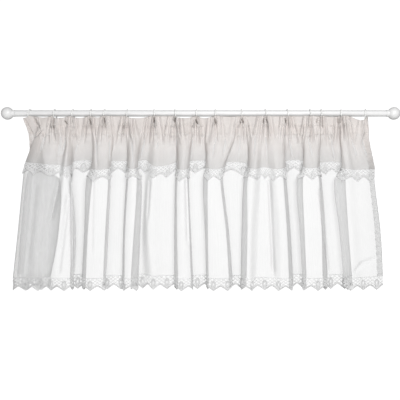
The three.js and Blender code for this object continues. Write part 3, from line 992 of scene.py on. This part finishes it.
def build_medallion(strip, centre):
    """Three corded ovals, the innermost an upright slit, with spokes between the slit and the outline."""
    strip.ribbons(oval(centre, SLIT, SPOKES), oval(centre, MEDALLION, SPOKES), SPOKE_WIDTH)
    for shape, count, half_width, height in MEDALLION_CORDS:
        strip.cord(oval(centre, shape, count), half_width, height, True)


def build_lace(name, material, hem, lifted):
    """Net, trellis, corded edges, and a medallion above each point."""
    strip = LaceStrip(hem, lifted)
    crossing_threads(strip, NET)
    crossing_threads(strip, TRELLIS)
    build_edges(strip)
    for scallop in range(SCALLOPS):
        build_medallion(strip, (scallop + 0.5) * PITCH)
    return strip.piece(name, material)


# Rod, finials, rings and hooks
ROD_SIDES, FINIAL_SIDES, RING_STEPS, RING_SIDES, HOOK_STEPS, HOOK_SIDES = 64, 56, 48, 12, 16, 8


def lathe(name, profile, sides, slot):
    """A turned piece about the X axis from (x, radius) points. It closes where a radius is 0."""
    angle = np.linspace(0, 2 * math.pi, sides, endpoint=False)
    points, faces = [], []
    previous = None
    for x, radius in profile:
        if radius == 0:
            ring = [len(points)]
            points.append((x, 0, 0))
        else:
            ring = list(range(len(points), len(points) + sides))
            points += [(x, radius * math.sin(a), radius * math.cos(a)) for a in angle]
        if previous is not None:
            for k in range(sides):
                n = (k + 1) % sides
                high = [previous[k % len(previous)], previous[n % len(previous)]]
                low = [ring[n % len(ring)], ring[k % len(ring)]]
                faces.append(list(dict.fromkeys(high + low)))
        previous = ring
    return make_piece(name, points, faces, slot)


def build_rod():
    end = ROD_HALF_LENGTH
    ease = 1.0
    profile = [(-end, 0), (-end, ROD_RADIUS - ease), (-end + ease, ROD_RADIUS)]
    profile += [(x, ROD_RADIUS) for x in np.linspace(-end + 4, end - 4, 25)]
    profile += [(end - ease, ROD_RADIUS), (end, ROD_RADIUS - ease), (end, 0)]
    rod = lathe("curtain_rod", profile, ROD_SIDES, "paint")
    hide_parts("rod")


def build_finial(name, node, side):
    """A ball on a short neck, turned end for end on the rod's left."""
    neck_angle = math.asin((NECK_RADIUS - 1.5) / FINIAL_RADIUS)
    face = ROD_HALF_LENGTH + FIT
    rounded_face = [(face, 0), (face, NECK_RADIUS - 1.2), (face + 0.8, NECK_RADIUS - 0.6)]
    profile = [*rounded_face, (ROD_HALF_LENGTH + 4, NECK_RADIUS - 0.4)]
    for angle in np.linspace(math.pi - neck_angle, 0, 28):
        radius = 0 if angle == 0 else FINIAL_RADIUS * math.sin(angle)
        profile.append((FINIAL_CENTRE + FINIAL_RADIUS * math.cos(angle), radius))
    profile = [(side * x, radius) for x, radius in profile]
    finial = lathe(name, profile[::side], FINIAL_SIDES, "paint")
    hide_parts(node)


def tube(path, radius, sides, closed=False):
    """Points and faces of a round tube along a path in space."""
    along = directions(path, closed)
    side = np.cross(along, [0.31, 0.83, 0.46])
    side /= np.linalg.norm(side, axis=1, keepdims=True)
    other = np.cross(along, side)
    angle = np.linspace(0, 2 * math.pi, sides, endpoint=False)
    around = side[:, None] * np.cos(angle)[:, None] + other[:, None] * np.sin(angle)[:, None]
    points = path[:, None] + radius * around
    count = len(path)
    faces = faces_around(count, sides, closed).tolist()
    if not closed:
        faces.append(list(range(sides))[::-1])
        faces.append([(count - 1) * sides + i for i in range(sides)])
    return points.reshape(-1, 3), faces


RING_PLAY, HOOK_PLAY = 0.1, 0.2
HOOK_LOOP_FROM, HOOK_LOOP_TO = 110, -95
RING_CENTRE = ROD_RADIUS + RING_PLAY + RING_WIRE_RADIUS - RING_RADIUS
HOOK_CENTRE = RING_CENTRE - RING_RADIUS + RING_WIRE_RADIUS + HOOK_WIRE_RADIUS + HOOK_PLAY - HOOK_LOOP_RADIUS


def build_rings():
    """Rings that hang on the top of the rod, each turned a little."""
    angle = np.linspace(0, 2 * math.pi, RING_STEPS, endpoint=False)
    beside = RING_RADIUS * np.sin(angle)
    for i, (x, turn) in enumerate(zip(RING_PLACES, RING_TURNS)):
        number = f"{i + 1:02d}"
        swing = math.radians(turn)
        across, back = x - beside * math.sin(swing), beside * math.cos(swing)
        path = np.stack([across, back, RING_CENTRE + RING_RADIUS * np.cos(angle)], axis=1)
        points, faces = tube(path, RING_WIRE_RADIUS, RING_SIDES, True)
        ring = make_piece(f"curtain_ring_{number}", points, faces, "plastic")
        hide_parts(f"ring_{number}")


def build_hooks():
    """Hooks that hang by an open loop from each ring's foot and reach forward to the heading."""
    angle = np.linspace(math.radians(HOOK_LOOP_FROM), math.radians(HOOK_LOOP_TO), HOOK_STEPS)
    across, above = HOOK_LOOP_RADIUS * np.sin(angle), HOOK_LOOP_RADIUS * np.cos(angle)
    for i, x in enumerate(RING_PLACES):
        number = f"{i + 1:02d}"
        low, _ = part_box(f"hook_{number}")
        behind_heading = low[1] / MM + 1
        loop = np.stack([x + across, 0 * angle, HOOK_CENTRE + above], axis=1)
        foot = [
            (x - HOOK_LOOP_RADIUS * 0.9, -1, HOOK_CENTRE - 4),
            (x - HOOK_LOOP_RADIUS * 0.6, -4, -HOOK_END_BELOW + 3),
            (x - 1.5, -8, -HOOK_END_BELOW),
            (x, behind_heading, -HOOK_END_BELOW),
        ]
        points, faces = tube(np.vstack([loop, foot]), HOOK_WIRE_RADIUS, HOOK_SIDES)
        hook = make_piece(f"curtain_hook_{number}", points, faces, "plastic")
        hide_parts(f"hook_{number}")


# Stage, light and camera
FLOOR_BELOW = 1.9
FLOOR_HALF_SIZE = 2.0
CAMERA_PLACE = (-0.0026, -2.3, -0.3464)
CAMERA_LENS = 51.75


def build_stage():
    size = FLOOR_HALF_SIZE
    mesh = bpy.data.meshes.new("floor")
    corners = [(-size, -size), (size, -size), (size, size), (-size, size)]
    mesh.from_pydata([(x, y, -FLOOR_BELOW) for x, y in corners], [], [(0, 1, 2, 3)])
    floor = add_object("floor", mesh)
    shader = Shader("pale_floor")
    cloud = shader.noise(shader.place(), 3)
    colour = shader.blend_colours(cloud, (0.84, 0.84, 0.83, 1), (0.88, 0.88, 0.87, 1))
    paper = shader.add("ShaderNodeBsdfPrincipled", {"Base Color": colour, "Roughness": 0.9})
    mesh.materials.append(shader.finish(paper.outputs[0]))


# Strength of the white surroundings: as the camera sees them, and as light from behind and from in front
BACKDROP = 1.1
AMBIENT_BEHIND, AMBIENT_BEFORE = 0.14, 0.38

# Round lamps: name, place, width and power
LAMPS = (("key", (0.5, -2.3, 0.5), 0.8, 38), ("fill", (-0.5, -2.6, -0.9), 1.6, 18))
LAMPS_AIM_AT = (0, 0, -0.35)


def build_surroundings():
    """A white world: bright to the camera, and as light dimmer, above all from behind."""
    shader = Shader("studio", bpy.data.worlds)
    direction = shader.add("ShaderNodeTexCoord").outputs["Generated"]
    away = shader.add("ShaderNodeSeparateXYZ", {0: direction}).outputs["Y"]
    ends = {"From Min": 1, "From Max": -1, "To Min": AMBIENT_BEHIND, "To Max": AMBIENT_BEFORE}
    ambient = shader.add("ShaderNodeMapRange", {"Value": away, **ends}).outputs["Result"]
    given = shader.add("ShaderNodeBackground", {"Color": grey(1), "Strength": ambient})
    seen = shader.add("ShaderNodeBackground", {"Color": grey(1), "Strength": BACKDROP})
    to_camera = shader.add("ShaderNodeLightPath").outputs["Is Camera Ray"]
    surface = shader.blend_shaders(to_camera, given.outputs[0], seen.outputs[0])
    bpy.context.scene.world = shader.finish(surface, "ShaderNodeOutputWorld")


def build_lamps():
    for name, place, size, power in LAMPS:
        lamp = bpy.data.lights.new(name, "AREA")
        lamp.shape = "DISK"
        lamp.size = size
        lamp.energy = power
        light = add_object(name, lamp)
        light.location = place
        aim = np.array(LAMPS_AIM_AT) - np.array(place)
        yaw = math.atan2(aim[1], aim[0]) - math.pi / 2
        pitch = math.atan2(aim[2], math.hypot(aim[0], aim[1]))
        light.rotation_euler = (math.pi / 2 + pitch, 0, yaw)


def build_camera():
    lens = bpy.data.cameras.new("camera")
    lens.lens = CAMERA_LENS
    lens.sensor_width = 36
    camera = add_object("camera", lens)
    camera.location = CAMERA_PLACE
    camera.rotation_euler = (math.pi / 2, 0, 0)
    bpy.context.scene.camera = camera


build_camera()
build_surroundings()
build_lamps()
build_stage()
bpy.context.scene.view_settings.view_transform = "Standard"
bpy.context.scene.cycles.transparent_max_bounces = 40

valance = build_valance()
panel = build_panel()
valance_lace = build_lace("valance_edging", "valance_lace", VALANCE_HEM, True)
panel_lace = build_lace("panel_edging", "lace", PANEL_HEM, False)
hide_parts("valance")
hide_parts("panel")
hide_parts("valance_lace")
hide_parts("panel_lace")
build_rod()
build_finial("finial_ball_left", "finial_left", -1)
build_finial("finial_ball_right", "finial_right", 1)
build_rings()
build_hooks()
